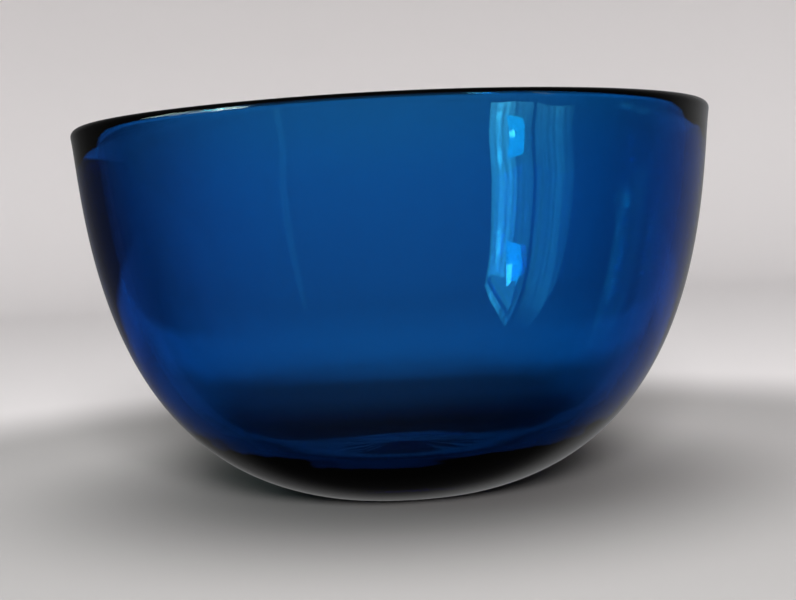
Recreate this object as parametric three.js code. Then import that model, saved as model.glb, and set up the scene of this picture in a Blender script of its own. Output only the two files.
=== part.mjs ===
// Deep art glass bowl, blown and shaped in one piece of transparent blue glass.
// Millimetres, +Z up, origin at the centre of the flat base. The whole piece is one gather of
// glass, so the model is one named mesh: a wall turned about the Z axis.
import * as THREE from 'three';

const degrees = THREE.MathUtils.degToRad;

// Driving dimensions
const RIM_DIAMETER = 160;     // over the outside of the lip
const HEIGHT = 93;            // base to the top of the lip
const BASE_DIAMETER = 54;     // flat ground spot that the bowl stands on
const LIP_THICKNESS = 3.4;    // fire-polished, fully rounded lip
const FLOOR_THICKNESS = 7;    // glass under the lowest point of the inside

// The wall is 5.4 mm thick at the shoulder, a little way under the lip. Above it the inside
// opens out to the thinner lip. Below it the wall keeps its thickness down to the floor, which
// is heavier.
const SHOULDER_HEIGHT = 78;
const SHOULDER_INNER_RADIUS = 73.2;

// Slopes: the base rise is measured from the level, the leans outward from the vertical.
const BASE_RISE = degrees(15);
const OUTER_LIP_LEAN = degrees(8.5);
const INNER_LIP_LEAN = degrees(36);
const SHOULDER_LEAN = degrees(7);

// How far each end of a curve holds its direction: the distance to its Bezier handle.
const OUTER_BASE_PULL = 53;
const OUTER_LIP_PULL = 14.5;
const FLOOR_PULL = 28;
const SHOULDER_PULL = 77;
const LIP_TAPER_PULL = 4;

// Facets
const TURN_SEGMENTS = 72;
const SKIN_SEGMENTS = 14;
const LIP_TAPER_SEGMENTS = 6;
const LIP_STEP = degrees(30);

const lipRadius = LIP_THICKNESS / 2;
const lipCentre = new THREE.Vector2(RIM_DIAMETER / 2 - lipRadius, HEIGHT - lipRadius);

// A point of the half section on the rounded lip: angle 0 faces outward and 90 degrees is its top.
function onLip(angle) {
  return new THREE.Vector2(Math.cos(angle), Math.sin(angle)).multiplyScalar(lipRadius).add(lipCentre);
}

// The point `distance` up a line through `start` that leans outward by `lean` (down if negative).
function along(start, lean, distance) {
  return new THREE.Vector2(Math.sin(lean), Math.cos(lean)).multiplyScalar(distance).add(start);
}

const outerLipEnd = onLip(-OUTER_LIP_LEAN);
const innerLipEnd = onLip(Math.PI - INNER_LIP_LEAN);
const shoulder = new THREE.Vector2(SHOULDER_INNER_RADIUS, SHOULDER_HEIGHT);

// Outer skin, from the edge of the flat base to the lip
function outerSkin() {
  const baseEdge = new THREE.Vector2(BASE_DIAMETER / 2, 0);
  const baseLean = Math.PI / 2 - BASE_RISE;
  return new THREE.CubicBezierCurve(
    baseEdge,
    along(baseEdge, baseLean, OUTER_BASE_PULL),
    along(outerLipEnd, OUTER_LIP_LEAN, -OUTER_LIP_PULL),
    outerLipEnd,
  ).getPoints(SKIN_SEGMENTS);
}

// Top of the lip, between the two skins
function lip() {
  const points = [];
  for (let angle = 0; angle < Math.PI - INNER_LIP_LEAN; angle += LIP_STEP) {
    points.push(onLip(angle));
  }
  return points;
}

// Inside of the lip, thinning upward from the shoulder
function lipTaper() {
  return new THREE.CubicBezierCurve(
    innerLipEnd,
    along(innerLipEnd, INNER_LIP_LEAN, -LIP_TAPER_PULL),
    along(shoulder, SHOULDER_LEAN, LIP_TAPER_PULL),
    shoulder,
  ).getPoints(LIP_TAPER_SEGMENTS);
}

// Inner skin, from the shoulder down to the level centre of the floor
function innerSkin() {
  const floorCentre = new THREE.Vector2(0, FLOOR_THICKNESS);
  return new THREE.CubicBezierCurve(
    shoulder,
    along(shoulder, SHOULDER_LEAN, -SHOULDER_PULL),
    along(floorCentre, Math.PI / 2, FLOOR_PULL),
    floorCentre,
  ).getPoints(SKIN_SEGMENTS);
}

// Closed half section, from the axis under the base, over the lip and back to the axis inside
function section() {
  const underBase = new THREE.Vector2(0, 0);
  return [underBase, ...outerSkin(), ...lip(), ...lipTaper(), ...innerSkin().slice(1)];
}

function glassBowl() {
  const geometry = new THREE.LatheGeometry(section(), TURN_SEGMENTS);
  geometry.rotateX(Math.PI / 2);
  const glass = new THREE.MeshStandardMaterial({ color: 0x0b5a9c, roughness: 0.05, metalness: 0 });
  const mesh = new THREE.Mesh(geometry, glass);
  mesh.name = 'glass_bowl';
  return mesh;
}

const bowl = new THREE.Group();
bowl.add(glassBowl());

export default bowl;
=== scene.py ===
"""Deep art glass bowl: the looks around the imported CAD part, in metres and in the CAD frame."""
import math

import bpy
import numpy as np
from mathutils import Euler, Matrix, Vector


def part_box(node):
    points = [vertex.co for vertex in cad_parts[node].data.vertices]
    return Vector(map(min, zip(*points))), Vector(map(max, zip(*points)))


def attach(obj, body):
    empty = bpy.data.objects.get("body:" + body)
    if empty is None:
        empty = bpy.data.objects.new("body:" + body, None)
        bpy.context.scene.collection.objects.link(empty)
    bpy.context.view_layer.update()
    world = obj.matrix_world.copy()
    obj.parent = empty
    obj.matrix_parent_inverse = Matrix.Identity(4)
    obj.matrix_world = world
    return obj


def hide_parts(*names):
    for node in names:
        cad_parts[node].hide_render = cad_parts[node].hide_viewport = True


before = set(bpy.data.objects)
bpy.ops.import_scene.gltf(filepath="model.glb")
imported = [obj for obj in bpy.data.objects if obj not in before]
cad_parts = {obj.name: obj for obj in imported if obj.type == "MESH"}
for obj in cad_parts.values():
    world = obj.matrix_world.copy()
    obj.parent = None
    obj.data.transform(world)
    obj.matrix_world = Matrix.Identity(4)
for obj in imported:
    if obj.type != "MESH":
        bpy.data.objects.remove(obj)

MM = 0.001
FULL_TURN = 2 * math.pi
ORIGIN = Vector((0, 0, 0))
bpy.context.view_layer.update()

# ---------------------------------------------------------------- size, from the frame
glass_low, glass_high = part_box("glass_bowl")
RIM_RADIUS = (glass_high[0] - glass_low[0]) / 2
HEIGHT = glass_high[2] - glass_low[2]

# ---------------------------------------------------------------- section, as in part.mjs
BASE_RADIUS = 27 * MM
LIP_RADIUS = 1.7 * MM
FLOOR_THICKNESS = 7 * MM
SHOULDER_HEIGHT = 78 * MM
SHOULDER_INNER_RADIUS = 73.2 * MM
BASE_RISE = math.radians(15)
OUTER_LIP_LEAN = math.radians(8.5)
INNER_LIP_LEAN = math.radians(36)
SHOULDER_LEAN = math.radians(7)
OUTER_BASE_PULL = 53 * MM
OUTER_LIP_PULL = 14.5 * MM
FLOOR_PULL = 28 * MM
SHOULDER_PULL = 77 * MM
LIP_TAPER_PULL = 4 * MM

# ---------------------------------------------------------------- fineness of the glass mesh
TURN_STEPS = 256
SKIN_STEPS = 90
TAPER_STEPS = 16
LIP_STEPS = 12
FLAT_STEPS = 6

# ---------------------------------------------------------------- unevenness of blown glass
INNER_SWELL = 0.10 * MM
INNER_OPTIC = 0.022 * MM
OUTER_SWELL = 0.04 * MM
TOOL_RIPPLE = 0.02 * MM
TOOL_RIPPLE_STEP = 4.2 * MM
TOOL_RIPPLE_TOP = 30 * MM
LIP_DIP = 0.2 * MM
LIP_DIP_FROM = 70 * MM
CENTRE_CALM = 14 * MM
WEAKEST_WAVE = 0.4

# waves of each: how many go round the turn, how far they slant up the wall, and the seed
SWELL_WAVES = (range(2, 7), 1.5, 11)
OPTIC_WAVES = (range(13, 47, 3), 2.5, 12)
RIPPLE_WAVES = ((1, 2, 3), 1, 13)
OUTER_WAVES = (range(3, 17, 2), 2, 14)
DIP_WAVES = ((2, 3, 5), 0, 15)


# ---------------------------------------------------------------- shape of the glass
def bezier(start, start_handle, end_handle, end, steps):
    """Points of a cubic Bezier, from its start up to but not including its end."""
    t = (np.arange(steps) / steps)[:, None]
    corners = [np.array(p, float) for p in (start, start_handle, end_handle, end)]
    weights = ((1 - t) ** 3, 3 * (1 - t) ** 2 * t, 3 * (1 - t) * t * t, t ** 3)
    return sum(w * c for w, c in zip(weights, corners))


def along(start, lean, distance):
    """The point `distance` up a line through start that leans outward by `lean`."""
    return np.array(start) + distance * np.array([math.sin(lean), math.cos(lean)])


def smooth(value, low, high):
    """0 at low and 1 at high, with an even ease between."""
    t = np.clip((value - low) / (high - low), 0, 1)
    return t * t * (3 - 2 * t)


def section():
    """Radius and height of each ring, and how far each takes part in the outer and inner skins."""
    lip_centre = np.array([RIM_RADIUS - LIP_RADIUS, HEIGHT - LIP_RADIUS])

    def on_lip(angle):
        return lip_centre + LIP_RADIUS * np.array([math.cos(angle), math.sin(angle)])

    outer_end, inner_end = on_lip(-OUTER_LIP_LEAN), on_lip(math.pi - INNER_LIP_LEAN)
    base_edge, shoulder = (BASE_RADIUS, 0), (SHOULDER_INNER_RADIUS, SHOULDER_HEIGHT)
    floor = (0, FLOOR_THICKNESS)
    flat = [(BASE_RADIUS * i / FLAT_STEPS, 0) for i in range(FLAT_STEPS)]
    outer = bezier(
        base_edge,
        along(base_edge, math.pi / 2 - BASE_RISE, OUTER_BASE_PULL),
        along(outer_end, OUTER_LIP_LEAN, -OUTER_LIP_PULL),
        outer_end,
        SKIN_STEPS,
    )
    lip = [on_lip(a) for a in np.linspace(-OUTER_LIP_LEAN, math.pi - INNER_LIP_LEAN, LIP_STEPS, False)]
    taper = bezier(
        inner_end,
        along(inner_end, INNER_LIP_LEAN, -LIP_TAPER_PULL),
        along(shoulder, SHOULDER_LEAN, LIP_TAPER_PULL),
        shoulder,
        TAPER_STEPS,
    )
    inner = bezier(
        shoulder,
        along(shoulder, SHOULDER_LEAN, -SHOULDER_PULL),
        along(floor, math.pi / 2, FLOOR_PULL),
        floor,
        SKIN_STEPS,
    )
    rings = np.vstack([flat, outer, lip, taper, inner, [floor]])
    outside, inside = np.zeros(len(rings)), np.zeros(len(rings))
    outside[FLAT_STEPS:FLAT_STEPS + SKIN_STEPS] = np.sin(np.linspace(0, math.pi, SKIN_STEPS)) ** 0.5
    inside[-(TAPER_STEPS + SKIN_STEPS + 1):] = 1
    inside[-(TAPER_STEPS + SKIN_STEPS + 1):-(SKIN_STEPS + 1)] = np.linspace(0, 1, TAPER_STEPS)
    return rings, outside, inside


def uneven(turn, rise, orders, climb, seed):
    """A sum of waves round the turn that also wander up the wall, from -1 to 1."""
    rng = np.random.default_rng(seed)
    field = 0
    for order in orders:
        phase, slant = rng.uniform(0, FULL_TURN), rng.uniform(-climb, climb)
        share = rng.uniform(WEAKEST_WAVE, 1)
        field = field + share * np.cos(order * turn + slant * rise + phase)
    return field / np.abs(field).max()


def blown(rings, outside, inside):
    """Points of every ring round the turn, with the small unevenness of hand-blown glass."""
    turn = (np.arange(TURN_STEPS) * FULL_TURN / TURN_STEPS)[None, :]
    radius, height = rings[:, 0, None], rings[:, 1, None]
    run = np.gradient(rings, axis=0)
    run /= np.linalg.norm(run, axis=1)[:, None]
    into_glass = np.stack([-run[:, 1], run[:, 0]], -1)
    rise = FULL_TURN * height / HEIGHT

    calm = smooth(radius, 0, CENTRE_CALM)
    swell = uneven(turn, rise, *SWELL_WAVES) * INNER_SWELL
    optic = uneven(turn, rise, *OPTIC_WAVES) * INNER_OPTIC
    ripple = np.cos(FULL_TURN * height / TOOL_RIPPLE_STEP + uneven(turn, rise, *RIPPLE_WAVES))
    ripple = ripple * TOOL_RIPPLE * (1 - smooth(height, TOOL_RIPPLE_TOP / 2, TOOL_RIPPLE_TOP))
    inner_move = inside[:, None] * calm * (swell + optic + ripple)
    outer_move = outside[:, None] * (1 + uneven(turn, rise, *OUTER_WAVES)) * OUTER_SWELL / 2
    move = outer_move + inner_move
    dip = (1 + uneven(turn, 0, *DIP_WAVES)) * LIP_DIP / 2 * smooth(height, LIP_DIP_FROM, HEIGHT)

    radius = radius + move * into_glass[:, 0, None]
    height = np.broadcast_to(height + move * into_glass[:, 1, None] - dip, radius.shape)
    return np.stack([radius * np.cos(turn), radius * np.sin(turn), height], -1)


def turned_faces(rings):
    """Faces of a closed body of rings: point 0 is the first pole and the last point the other."""
    last = 1 + rings * TURN_STEPS
    faces = []
    for i in range(TURN_STEPS):
        j = (i + 1) % TURN_STEPS
        faces.append((0, 1 + j, 1 + i))
        for ring in range(rings - 1):
            here, above = 1 + ring * TURN_STEPS, 1 + (ring + 1) * TURN_STEPS
            faces.append((here + i, here + j, above + j, above + i))
        faces.append((last, last - TURN_STEPS + i, last - TURN_STEPS + j))
    return faces


def bowl_mesh():
    rings, outside, inside = section()
    points = blown(rings, outside, inside)[1:-1].reshape(-1, 3)
    points = np.vstack([[[0, 0, rings[0][1]]], points, [[0, 0, rings[-1][1]]]])
    faces = turned_faces(len(rings) - 2)
    mesh = bpy.data.meshes.new("blue_glass_bowl")
    mesh.from_pydata(points.tolist(), [], faces)
    mesh.update()
    mesh.polygons.foreach_set("use_smooth", [True] * len(mesh.polygons))
    return mesh


# ---------------------------------------------------------------- material
GLASS_IOR = 1.5
GLASS_DEPTH_COLOUR = (0.12, 0.708, 0.887, 1)
GLASS_DEPTH_DENSITY = 700
TINT = ((0.96, 0.985, 0.99, 1), (1, 1, 1, 1))
SMEAR_ROUGHNESS = 0.014
SMEARS_BETWEEN = (0.52, 0.75)
WORN_ROUGHNESS = 0.25
SCRATCHES_BETWEEN = (0.4, 0.6)
WORN_HEIGHT = 0.5 * MM
WORN_FROM = 22 * MM
WORN_FULL = 25 * MM
CORD_DEPTH = 0.02 * MM

# noise in the glass: its scale, its stretch along each axis and, for a plainer one, its detail
SMEAR_NOISE = (28, (1, 1, 0.45))
SCRATCH_NOISE = (900, (1, 0.15, 1))
TINT_NOISE = (14, (1, 1, 0.3), 2.0)
CORD_NOISE = (60, (1, 1, 0.12), 2.0)


def node_material(name):
    """A new material that uses nodes, with its nodes and its links."""
    material = bpy.data.materials.new(name)
    material.use_nodes = True
    return material, material.node_tree.nodes, material.node_tree.links


def noise(nodes, links, place, scale, stretch, detail=3.0):
    """Noise that is finer along an axis whose stretch is larger."""
    mapping = nodes.new("ShaderNodeMapping")
    mapping.inputs["Scale"].default_value = stretch
    texture = nodes.new("ShaderNodeTexNoise")
    texture.inputs["Scale"].default_value = scale
    texture.inputs["Detail"].default_value = detail
    links.new(place, mapping.inputs["Vector"])
    links.new(mapping.outputs["Vector"], texture.inputs["Vector"])
    return texture.outputs["Fac"]


def map_range(nodes, links, value, low, high, to_low, to_high):
    """Eased change from to_low to to_high as the value goes from low to high."""
    node = nodes.new("ShaderNodeMapRange")
    node.interpolation_type = "SMOOTHSTEP"
    for socket, number in zip(list(node.inputs)[1:5], (low, high, to_low, to_high)):
        socket.default_value = number
    links.new(value, node.inputs[0])
    return node.outputs[0]


def combine(nodes, links, operation, first, second):
    """Two values multiplied, or the larger of them, as the operation says."""
    node = nodes.new("ShaderNodeMath")
    node.operation = operation
    links.new(first, node.inputs[0])
    links.new(second, node.inputs[1])
    return node.outputs[0]


def axes_of(nodes, links, place):
    """X, Y and Z of a position."""
    axes = nodes.new("ShaderNodeSeparateXYZ")
    links.new(place, axes.inputs[0])
    return axes.outputs


def length_of(nodes, links, place):
    """How far a position is from the origin."""
    reach = nodes.new("ShaderNodeVectorMath")
    reach.operation = "LENGTH"
    links.new(place, reach.inputs[0])
    return reach.outputs["Value"]


def blue_glass():
    """Clear blue glass, with faint cords, smears of handling and a worn ring under the foot."""
    material, nodes, links = node_material("blue_glass")
    surface = nodes["Principled BSDF"]
    surface.inputs["IOR"].default_value = GLASS_IOR
    surface.inputs["Transmission Weight"].default_value = 1.0
    place = nodes.new("ShaderNodeTexCoord").outputs["Object"]

    smears = noise(nodes, links, place, *SMEAR_NOISE)
    smears = map_range(nodes, links, smears, *SMEARS_BETWEEN, 0.0, SMEAR_ROUGHNESS)
    scratches = noise(nodes, links, place, *SCRATCH_NOISE)
    rough = (WORN_ROUGHNESS / 3, WORN_ROUGHNESS)
    scratches = map_range(nodes, links, scratches, *SCRATCHES_BETWEEN, *rough)
    foot = map_range(nodes, links, axes_of(nodes, links, place)["Z"], 0.0, WORN_HEIGHT, 1.0, 0.0)
    ring = map_range(nodes, links, length_of(nodes, links, place), WORN_FROM, WORN_FULL, 0.0, 1.0)
    ring = combine(nodes, links, "MULTIPLY", foot, ring)
    worn = combine(nodes, links, "MULTIPLY", ring, scratches)
    links.new(combine(nodes, links, "MAXIMUM", smears, worn), surface.inputs["Roughness"])

    tint = nodes.new("ShaderNodeValToRGB")
    for step, colour in zip(tint.color_ramp.elements, TINT):
        step.color = colour
    links.new(noise(nodes, links, place, *TINT_NOISE), tint.inputs[0])
    links.new(tint.outputs["Color"], surface.inputs["Base Color"])

    cords = nodes.new("ShaderNodeBump")
    cords.inputs["Strength"].default_value = 1.0
    cords.inputs["Distance"].default_value = CORD_DEPTH
    links.new(noise(nodes, links, place, *CORD_NOISE), cords.inputs["Height"])
    links.new(cords.outputs["Normal"], surface.inputs["Normal"])

    depth = nodes.new("ShaderNodeVolumeAbsorption")
    depth.inputs["Color"].default_value = GLASS_DEPTH_COLOUR
    depth.inputs["Density"].default_value = GLASS_DEPTH_DENSITY
    links.new(depth.outputs[0], nodes["Material Output"].inputs["Volume"])
    return material


bowl = bpy.data.objects.new("blue_glass_bowl", bowl_mesh())
bpy.context.scene.collection.objects.link(bowl)
bowl.data.materials.append(blue_glass())
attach(bowl, "root")
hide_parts("glass_bowl")


# ---------------------------------------------------------------- studio: floor and wall
SWEEP_FLAT = 0.9
SWEEP_BEND = 0.6
SWEEP_TOP = 2.4
SWEEP_SIDES = 128
BEND_STEPS = 24
FLOOR_GAP = 0.15 * MM
FLOOR_COLOUR = (0.46, 0.443, 0.438, 1)
WALL_COLOUR = (0.7, 0.67, 0.67, 1)
PAINT_ROUGHNESS = 0.85
WALL_GLOW = 0.29
UPPER_WALL_SHARE = 0.2
# share of the floor's colour that is left in the painted shadow under the bowl
PAINTED_SHADOW_SHARE = 0.25

# where each change of the paint starts and ends: by radius, by depth behind the bowl, by height
# the painted shadow under the bowl: full depth out to the first radius, gone by the second
PAINTED_SHADOW_SPAN = (0.03, 0.12)
PALER_BEHIND = (0.15, 0.25)
OUTER_FLOOR = (0.5, 0.95)
BEHIND = (-0.05, 0.12)
GLOW_FADES = (0.04, 0.5)
WALL_DIMS = (0.45, 0.7)


def studio_mesh(name, points, faces, material):
    mesh = bpy.data.meshes.new(name)
    mesh.from_pydata(points, [], faces)
    mesh.polygons.foreach_set("use_smooth", [True] * len(mesh.polygons))
    mesh.materials.append(material)
    piece = bpy.data.objects.new(name, mesh)
    bpy.context.scene.collection.objects.link(piece)
    return piece


def sweep_paint():
    """Plain matt paint, with a painted shadow under the bowl, paler and faintly glowing behind it and
    far out.
    """
    material, nodes, links = node_material("sweep")
    shader = nodes["Principled BSDF"]
    shader.inputs["Roughness"].default_value = PAINT_ROUGHNESS
    place = nodes.new("ShaderNodeTexCoord").outputs["Object"]
    axes, reach = axes_of(nodes, links, place), length_of(nodes, links, place)

    behind = map_range(nodes, links, axes["Y"], *BEHIND, 0.0, 1.0)
    pale = map_range(nodes, links, reach, *PALER_BEHIND, 0.0, 1.0)
    outer = map_range(nodes, links, reach, *OUTER_FLOOR, 0.0, 1.0)
    far = combine(nodes, links, "MAXIMUM", combine(nodes, links, "MULTIPLY", pale, behind), outer)
    blend = nodes.new("ShaderNodeValToRGB")
    blend.color_ramp.elements[0].color = FLOOR_COLOUR
    blend.color_ramp.elements[1].color = WALL_COLOUR
    links.new(far, blend.inputs[0])

    # painted shadow round the foot: the floor's colour darkens towards the bowl's axis
    under = map_range(nodes, links, reach, *PAINTED_SHADOW_SPAN, PAINTED_SHADOW_SHARE, 1.0)
    high = map_range(nodes, links, axes["Z"], *WALL_DIMS, 1.0, UPPER_WALL_SHARE)
    shade = nodes.new("ShaderNodeVectorMath")
    shade.operation = "SCALE"
    links.new(blend.outputs["Color"], shade.inputs[0])
    links.new(combine(nodes, links, "MULTIPLY", high, under), shade.inputs["Scale"])
    links.new(shade.outputs["Vector"], shader.inputs["Base Color"])

    low = map_range(nodes, links, axes["Z"], *GLOW_FADES, WALL_GLOW, 0.0)
    shader.inputs["Emission Color"].default_value = WALL_COLOUR
    links.new(combine(nodes, links, "MULTIPLY", far, low), shader.inputs["Emission Strength"])
    return material


def sweep():
    """Round floor that curves up into a wall, so that there is a backdrop on every side."""
    bend = np.linspace(0, math.pi / 2, BEND_STEPS)
    profile = [(SWEEP_FLAT / 2, 0.0)]
    profile += [(SWEEP_FLAT + SWEEP_BEND * math.sin(a), SWEEP_BEND * (1 - math.cos(a))) for a in bend]
    profile.append((SWEEP_FLAT + SWEEP_BEND, SWEEP_TOP))
    sides = SWEEP_SIDES
    points = [(0, 0, -FLOOR_GAP)]
    for radius, height in profile:
        for i in range(sides):
            a = FULL_TURN * i / sides
            points.append((radius * math.cos(a), radius * math.sin(a), height - FLOOR_GAP))
    faces = [(0, 1 + i, 1 + (i + 1) % sides) for i in range(sides)]
    for ring in range(len(profile) - 1):
        here, out = 1 + ring * sides, 1 + (ring + 1) * sides
        for i in range(sides):
            j = (i + 1) % sides
            faces.append((here + i, out + i, out + j, here + j))
    floor = studio_mesh("sweep", points, faces, sweep_paint())
    floor.visible_glossy = False


def soft_light(name, place, width, height, radiance):
    """A rectangular lamp aimed at the foot of the bowl, which the glass neither mirrors nor shows."""
    data = bpy.data.lights.new(name, "AREA")
    data.shape = "RECTANGLE"
    data.size, data.size_y = width, height
    data.energy = radiance * width * height * math.pi
    light = bpy.data.objects.new(name, data)
    bpy.context.scene.collection.objects.link(light)
    light.location = place
    light.rotation_euler = (ORIGIN - Vector(place)).to_track_quat("-Z", "Y").to_euler()
    light.visible_camera = light.visible_glossy = light.visible_transmission = False


sweep()
soft_light("overhead", place=(0.0, 0.1, 1.7), width=1.6, height=1.6, radiance=0.66)
soft_light("front_key", place=(0.05, -1.13, 0.53), width=0.45, height=0.3, radiance=72)

# ---------------------------------------------------------------- studio: what the glass sees
CARD_DISTANCE = 1.1
NEAR_CARD = 1.08
NEARER_CARD = 1.06
DAYLIGHT = (0.72, 1.0, 0.9)
SKY = (0.08, 0.95, 1.15)
STREAK_NOISE = (14, (1, 1, 0.05))
STREAKS_BETWEEN = (0.35, 0.65)
STREAK_DEPTH = 0.3
PANE_FADES = (0.5, 1.0)
PANE_FADES_TO = 0.1

FLAG_DISTANCE = 0.34
FLAG_TOP = 40
FLAG_FOOT = 0.035
FLAG_FULL = (0.3, 0.57)
BLACK = (0.01, 0.01, 0.01, 1)


def card(name, azimuth, corners, material, distance=CARD_DISTANCE):
    """An upright flat card round the bowl that the camera doesn't see.

    Azimuth is from -Y towards -X. Each corner is its angle across from there, and its elevation.
    All angles are in degrees.
    """
    points = []
    for across, elevation in corners:
        reach = distance / math.cos(math.radians(across))
        x = distance * math.tan(math.radians(across))
        points.append((x, 0, reach * math.tan(math.radians(elevation))))
    piece = studio_mesh(name, points, [tuple(range(len(points)))], material)
    a = math.radians(azimuth)
    piece.location = (-distance * math.sin(a), -distance * math.cos(a), 0)
    piece.rotation_euler = (0, 0, math.pi - a)
    piece.visible_camera = piece.visible_diffuse = piece.visible_shadow = False
    return piece


def glow(name, radiance, colour=DAYLIGHT):
    """A material that only gives off light."""
    material, nodes, links = node_material(name)
    light = nodes.new("ShaderNodeEmission")
    light.inputs["Color"].default_value = (*colour, 1)
    light.inputs["Strength"].default_value = radiance
    links.new(light.outputs[0], nodes["Material Output"].inputs["Surface"])
    return material


def pane(name, corners, brightness, fades=False):
    """A pane of the window, which can fade upwards.

    A corner is its azimuth and elevation. The brightness is the radiance at some azimuths.
    """
    start, end = min(a for a, _ in corners), max(a for a, _ in corners)
    middle, spread = (start + end) / 2, math.tan(math.radians(end - start) / 2)
    material = glow(name, 0)
    nodes, links = material.node_tree.nodes, material.node_tree.links
    place = nodes.new("ShaderNodeTexCoord").outputs["Generated"]
    axes = axes_of(nodes, links, place)
    ramp = nodes.new("ShaderNodeValToRGB")
    links.new(axes["X"], ramp.inputs[0])
    steps = ramp.color_ramp.elements
    steps.remove(steps[1])
    for azimuth, radiance in brightness:
        across = math.tan(math.radians(azimuth - middle)) / spread
        steps.new((across + 1) / 2).color = (radiance, radiance, radiance, 1)
    steps.remove(steps[0])
    streaks = noise(nodes, links, place, *STREAK_NOISE)
    depths = (1 - STREAK_DEPTH, 1 + STREAK_DEPTH)
    streaks = map_range(nodes, links, streaks, *STREAKS_BETWEEN, *depths)
    strength = combine(nodes, links, "MULTIPLY", ramp.outputs["Color"], streaks)
    if fades:
        high = map_range(nodes, links, axes["Z"], *PANE_FADES, 1.0, PANE_FADES_TO)
        strength = combine(nodes, links, "MULTIPLY", strength, high)
    links.new(strength, nodes["Emission"].inputs["Strength"])
    card(name, middle, [(a - middle, e) for a, e in corners], material)


def dark_cloth(name, depth):
    """Black cloth that thins out to both sides and to its foot."""
    material, nodes, links = node_material(name)
    nodes["Principled BSDF"].inputs["Base Color"].default_value = BLACK
    axes = axes_of(nodes, links, nodes.new("ShaderNodeTexCoord").outputs["Generated"])
    thickness = nodes.new("ShaderNodeValToRGB")
    thickness.color_ramp.interpolation = "EASE"
    thickness.color_ramp.elements[1].color = (0, 0, 0, 1)
    for across in FLAG_FULL:
        thickness.color_ramp.elements.new(across).color = (depth, depth, depth, 1)
    links.new(axes["X"], thickness.inputs[0])
    foot = map_range(nodes, links, axes["Z"], 0.0, FLAG_FOOT, 0.0, 1.0)
    mix = nodes.new("ShaderNodeMixShader")
    links.new(combine(nodes, links, "MULTIPLY", thickness.outputs["Color"], foot), mix.inputs[0])
    links.new(nodes.new("ShaderNodeBsdfTransparent").outputs[0], mix.inputs[1])
    links.new(nodes["Principled BSDF"].outputs[0], mix.inputs[2])
    links.new(mix.outputs[0], nodes["Material Output"].inputs["Surface"])
    return material


def flag(name, start, end, depth, foot=0, distance=FLAG_DISTANCE):
    """Black cloth seen only through the glass, which deepens its edges and its foot."""
    half = (end - start) / 2
    corners = [(-half, foot), (half, foot), (half, FLAG_TOP), (-half, FLAG_TOP)]
    piece = card(name, (start + end) / 2, corners, dark_cloth(name, depth), distance)
    piece.visible_glossy = False


pane(
    "left_pane",
    [(48, 16), (60, 13), (70, 13), (69.5, 34), (67.5, 44), (48, 34.5)],
    [(48, 9), (50.5, 11), (52.5, 16), (55, 12.5), (57.5, 13), (61, 4.5), (69, 4.5), (70, 1.6)],
)
pane(
    "right_pane",
    [(71.5, 13), (80, 15), (92, 13), (91, 25), (86, 34), (82, 41), (71.5, 41)],
    [(72, 3.6), (81, 3.8), (83.5, 6.5), (86, 2.8), (92, 1.2)],
    fades=True,
)
card(
    "highlight",
    52.3,
    [(-1, 24), (1, 23.5), (1.2, 27), (0, 28.5), (-1, 27)],
    glow("highlight", 32),
    NEAR_CARD,
)
card(
    "blue_glint",
    61,
    [(-5, 25), (4, 25), (6.5, 29), (4, 33), (-2, 31)],
    glow("blue_glint", 19, SKY),
    NEAR_CARD,
)
card("glint", 60, [(-1.6, 29), (1.2, 28.5), (2.4, 32), (0, 33.5)], glow("glint", 52), NEARER_CARD)
card("transom_frame", 58, [(-9, 32), (9.2, 32), (8.8, 41), (-9, 33.4)], glow("frame", 1.5), NEAR_CARD)
card("transom", 58, [(-7.2, 31.5), (7.6, 31.5), (7.2, 39), (-7.2, 33)], glow("transom", 7), NEARER_CARD)
card("far_streak", -53, [(-1.8, 11), (1.8, 11), (1.4, 37), (-1.4, 37)], glow("far_streak", 1.1))
flag("left_flag", start=96, end=168, depth=0.9)
flag("right_flag", start=190, end=260, depth=0.3)
flag("upper_flag", start=140, end=220, depth=0.85, foot=8, distance=CARD_DISTANCE)


# ---------------------------------------------------------------- studio: the rest of the room
PALE_SIDE = (0.25, 0.97, 0.0)
FRONT_GREY = (0.1, 0.1, 0.1, 1)
BACK_GREY = (0.25, 0.25, 0.26, 1)
DIMS_BELOW = (-0.75, -0.5)
DIMS_BEHIND = (0.0, 0.3)
BELOW_SHARE = 0.25

# greys between, each by how nearly it lies on the pale side, from -1 to 1
GREYS_BETWEEN = ((-0.5, 0.07), (0.0, 0.02), (0.45, 0.03), (0.6, 0.05), (0.75, 0.1), (0.88, 0.18))


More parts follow.
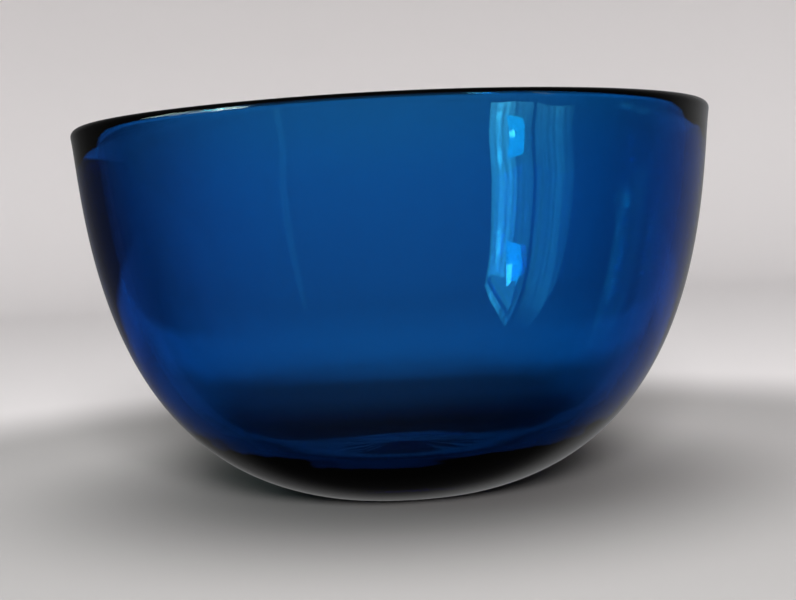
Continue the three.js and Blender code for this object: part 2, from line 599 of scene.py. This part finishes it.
def room_light():
    """World: what the glass mirrors. Palest behind the bowl, but dimmer there low down."""
    world = bpy.data.worlds.new("studio")
    bpy.context.scene.world = world
    world.use_nodes = True
    nodes, links = world.node_tree.nodes, world.node_tree.links
    direction = nodes.new("ShaderNodeTexCoord").outputs["Generated"]
    facing = nodes.new("ShaderNodeVectorMath")
    facing.operation = "DOT_PRODUCT"
    facing.inputs[1].default_value = PALE_SIDE
    links.new(direction, facing.inputs[0])
    half = nodes.new("ShaderNodeMath")
    half.operation = "MULTIPLY_ADD"
    half.inputs[1].default_value = half.inputs[2].default_value = 0.5
    links.new(facing.outputs["Value"], half.inputs[0])

    ramp = nodes.new("ShaderNodeValToRGB")
    steps = ramp.color_ramp.elements
    steps[0].color = FRONT_GREY
    steps[1].color = BACK_GREY
    for dot, grey in GREYS_BETWEEN:
        steps.new((dot + 1) / 2).color = (grey, grey, grey, 1)
    links.new(half.outputs[0], ramp.inputs[0])
    links.new(ramp.outputs["Color"], nodes["Background"].inputs["Color"])

    upward = axes_of(nodes, links, direction)["Z"]
    below = map_range(nodes, links, upward, *DIMS_BELOW, BELOW_SHARE, 1.0)
    front = map_range(nodes, links, facing.outputs["Value"], *DIMS_BEHIND, 1.0, 0.0)
    links.new(combine(nodes, links, "MAXIMUM", below, front), nodes["Background"].inputs["Strength"])


room_light()

# ---------------------------------------------------------------- camera
SENSOR_WIDTH = 36
LENS = 61
NEAREST_SEEN = 10 * MM
CAMERA_BACK = 4.36 * RIM_RADIUS
CAMERA_HEIGHT = 0.824 * RIM_RADIUS
PITCH_DOWN = math.radians(3.12)
ROLL = math.radians(2.74)

camera_data = bpy.data.cameras.new("camera")
camera = bpy.data.objects.new("camera", camera_data)
bpy.context.scene.collection.objects.link(camera)
camera_data.sensor_width = SENSOR_WIDTH
camera_data.lens = LENS
camera_data.clip_start = NEAREST_SEEN
camera.location = (0, -CAMERA_BACK, CAMERA_HEIGHT)
camera.rotation_mode = "QUATERNION"
look = Euler((math.pi / 2 - PITCH_DOWN, 0, 0)).to_quaternion()
camera.rotation_quaternion = look @ Euler((0, 0, -ROLL)).to_quaternion()
bpy.context.scene.camera = camera

# ---------------------------------------------------------------- how light is followed
GLASS_BOUNCES = 24
MIRROR_BOUNCES = 16
BRIGHTEST_GLINT = 50

bpy.context.scene.view_settings.view_transform = "Standard"
cycles = bpy.context.scene.cycles
cycles.max_bounces = GLASS_BOUNCES
cycles.transmission_bounces = GLASS_BOUNCES
cycles.glossy_bounces = MIRROR_BOUNCES
cycles.caustics_refractive = False
cycles.sample_clamp_indirect = BRIGHTEST_GLINT
